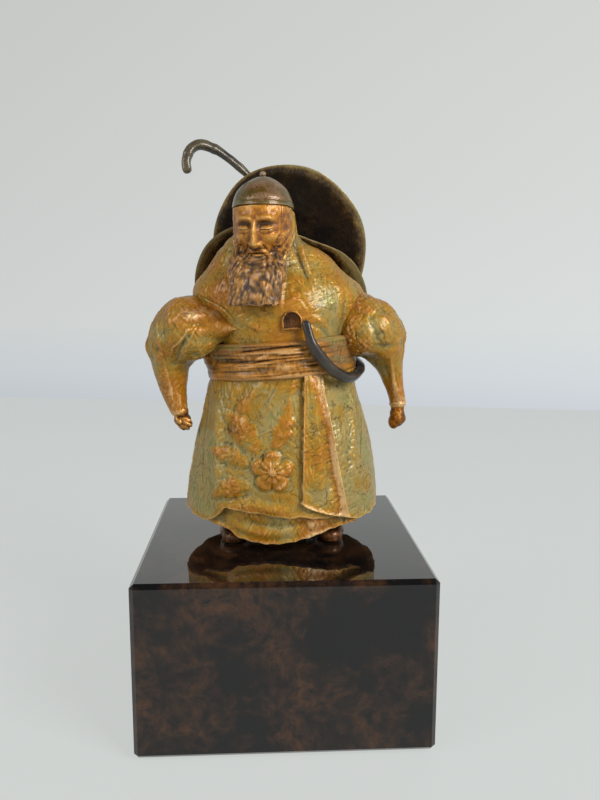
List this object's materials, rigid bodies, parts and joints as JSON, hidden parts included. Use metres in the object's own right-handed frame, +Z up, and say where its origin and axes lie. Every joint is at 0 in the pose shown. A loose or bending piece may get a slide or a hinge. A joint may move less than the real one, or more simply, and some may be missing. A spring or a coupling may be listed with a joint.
{
  "type": "bronze warrior statuette",
  "caption": "Small patinated bronze figure of a bearded warrior in a long sashed robe, with cap, bow and two shields on the back, studded to a polished stone block plinth.",
  "frame": {"origin": "centre of the felt's underside, where the plinth stands on a surface", "axes": "+Z up; -Y is the way the figure faces; +X is the figure's left, on the right as it is looked at"},
  "size_m": [0.08, 0.08, 0.1672],
  "materials": {
    "polished_stone": "polished",
    "felt": "matte felt",
    "zinc_steel": "zinc plated",
    "bare_bronze": "as turned",
    "olive_bronze": "waxed green and ochre patina",
    "copper_bronze": "waxed copper patina",
    "dark_bronze": "dark brown patina",
    "grey_bronze": "dark grey patina"
  },
  "bodies": {
    "root": {"stone_plinth": "polished_stone", "felt_sheet": "felt", "right_stud": "zinc_steel", "left_stud": "zinc_steel", "right_washer": "zinc_steel", "left_washer": "zinc_steel", "right_nut": "zinc_steel", "left_nut": "zinc_steel", "waist_dowel": "bare_bronze", "right_arm_pin": "bare_bronze", "left_arm_pin": "bare_bronze", "shield_rivet": "bare_bronze", "shield_spacer": "bare_bronze", "robe_skirt": "olive_bronze", "under_robe": "olive_bronze", "front_flap": "olive_bronze", "torso": "olive_bronze", "right_sleeve": "olive_bronze", "left_sleeve": "olive_bronze", "coif": "olive_bronze", "cap": "olive_bronze", "sash": "copper_bronze", "head": "copper_bronze", "beard": "copper_bronze", "cap_knob": "copper_bronze", "right_hand": "copper_bronze", "left_hand": "copper_bronze", "right_boot": "copper_bronze", "left_boot": "copper_bronze", "chest_plaque": "copper_bronze", "oval_shield": "dark_bronze", "round_shield": "dark_bronze", "bow": "grey_bronze"}
  },
  "joints": []
}
